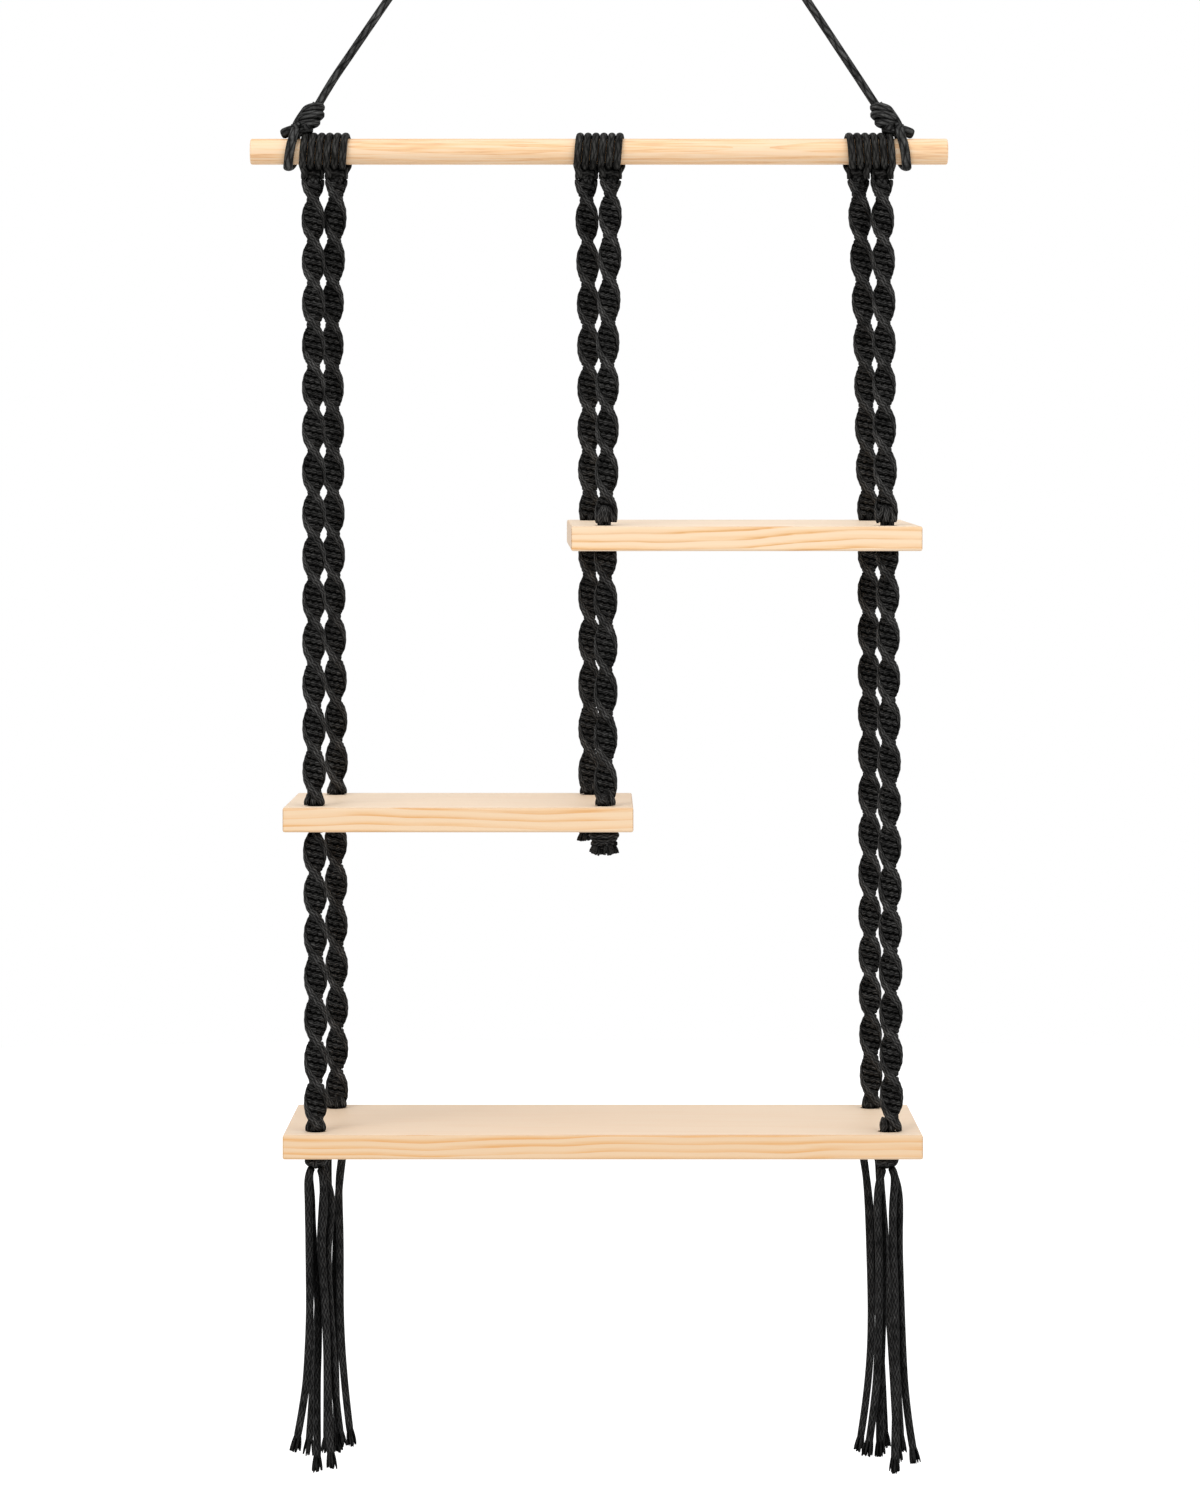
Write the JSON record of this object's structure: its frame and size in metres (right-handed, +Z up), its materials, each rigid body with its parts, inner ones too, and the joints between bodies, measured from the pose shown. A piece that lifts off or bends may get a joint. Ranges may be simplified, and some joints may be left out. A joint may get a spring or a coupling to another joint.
{
  "type": "hanging rope shelf",
  "caption": "Hanging shelf: staggered pine boards carried on twisted black macrame ropes that are wound round a dowel, which a cord sling hangs from one hook.",
  "frame": {"origin": "the point where the sling's top loop bears on its hook", "axes": "+Z up, -Y to the front, +X to the right along the dowel and the boards"},
  "size_m": [0.43, 0.1458, 1.139],
  "materials": {
    "pine": "bare sanded pine, pale yellow with fine lengthwise grain",
    "cord": "braided black polyester cord with a slight sheen"
  },
  "bodies": {
    "hanger": {"dowel": "pine", "sling_left_leg": "cord", "sling_right_leg": "cord", "sling_top_loop": "cord", "left_sling_hitch": "cord", "left_sling_knot": "cord", "right_sling_hitch": "cord", "right_sling_knot": "cord"},
    "windings": {"left_front_winding": "cord", "left_rear_winding": "cord", "middle_front_winding": "cord", "middle_rear_winding": "cord", "right_front_winding": "cord", "right_rear_winding": "cord"},
    "left_ropes": {"left_front_rope_upper": "cord", "left_front_rope_lower": "cord", "left_rear_rope_upper": "cord", "left_rear_rope_lower": "cord"},
    "middle_ropes": {"middle_front_rope_upper": "cord", "middle_front_rope_lower": "cord", "middle_rear_rope_upper": "cord", "middle_rear_rope_lower": "cord"},
    "right_ropes": {"right_front_rope_upper": "cord", "right_front_rope_lower": "cord", "right_rear_rope_upper": "cord", "right_rear_rope_lower": "cord"},
    "upper_shelf": {"upper_shelf": "pine"},
    "middle_shelf": {"middle_shelf": "pine", "middle_front_end_knot": "cord", "middle_rear_end_knot": "cord"},
    "lower_shelf": {"lower_shelf": "pine", "left_front_stop_knot": "cord", "left_rear_stop_knot": "cord", "right_front_stop_knot": "cord", "right_rear_stop_knot": "cord"},
    "left_front_tassel": {"left_front_strand_1": "cord", "left_front_strand_2": "cord", "left_front_strand_3": "cord", "left_front_strand_4": "cord"},
    "left_rear_tassel": {"left_rear_strand_1": "cord", "left_rear_strand_2": "cord", "left_rear_strand_3": "cord", "left_rear_strand_4": "cord"},
    "right_front_tassel": {"right_front_strand_1": "cord", "right_front_strand_2": "cord", "right_front_strand_3": "cord", "right_front_strand_4": "cord"},
    "right_rear_tassel": {"right_rear_strand_1": "cord", "right_rear_strand_2": "cord", "right_rear_strand_3": "cord", "right_rear_strand_4": "cord"}
  },
  "joints": [
    {"name": "front_back_swing", "type": "hinge", "parent": "hanger", "child": "windings", "pos_m": [0, 0, -0.3145], "axis": [1, 0, 0], "range_deg": [-12, 12]},
    {"name": "left_sway", "type": "hinge", "parent": "windings", "child": "left_ropes", "pos_m": [-0.1694, 0, -0.3145], "axis": [0, 1, 0], "range_deg": [-3, 3]},
    {"name": "middle_sway", "type": "hinge", "parent": "windings", "child": "middle_ropes", "pos_m": [-0.0003, 0, -0.3145], "axis": [0, 1, 0], "range_deg": [-3, 3]},
    {"name": "right_sway", "type": "hinge", "parent": "windings", "child": "right_ropes", "pos_m": [0.1674, 0, -0.3145], "axis": [0, 1, 0], "range_deg": [-3, 3]},
    {"name": "upper_shelf_level", "type": "hinge", "parent": "right_ropes", "child": "upper_shelf", "pos_m": [0.1674, 0, -0.551], "axis": [0, 1, 0], "range_deg": [-3, 3]},
    {"name": "middle_shelf_level", "type": "hinge", "parent": "left_ropes", "child": "middle_shelf", "pos_m": [-0.1694, 0, -0.722], "axis": [0, 1, 0], "range_deg": [-3, 3]},
    {"name": "lower_shelf_level", "type": "hinge", "parent": "right_ropes", "child": "lower_shelf", "pos_m": [0.1674, 0, -0.919], "axis": [0, 1, 0], "range_deg": [-3, 3]},
    {"name": "left_front_tassel_swing", "type": "hinge", "parent": "lower_shelf", "child": "left_front_tassel", "pos_m": [-0.1713, -0.054, -0.9265], "axis": [1, 0, 0], "range_deg": [-12, 12]},
    {"name": "left_rear_tassel_swing", "type": "hinge", "parent": "lower_shelf", "child": "left_rear_tassel", "pos_m": [-0.1656, 0.054, -0.9265], "axis": [1, 0, 0], "range_deg": [-12, 12]},
    {"name": "right_front_tassel_swing", "type": "hinge", "parent": "lower_shelf", "child": "right_front_tassel", "pos_m": [0.1745, -0.054, -0.9265], "axis": [1, 0, 0], "range_deg": [-12, 12]},
    {"name": "right_rear_tassel_swing", "type": "hinge", "parent": "lower_shelf", "child": "right_rear_tassel", "pos_m": [0.1702, 0.054, -0.9265], "axis": [1, 0, 0], "range_deg": [-12, 12]}
  ],
  "couplings": [
    {"joint": "middle_sway", "follows": "left_sway", "ratio": 1},
    {"joint": "right_sway", "follows": "left_sway", "ratio": 1},
    {"joint": "upper_shelf_level", "follows": "left_sway", "ratio": -1},
    {"joint": "middle_shelf_level", "follows": "left_sway", "ratio": -1},
    {"joint": "lower_shelf_level", "follows": "left_sway", "ratio": -1}
  ]
}
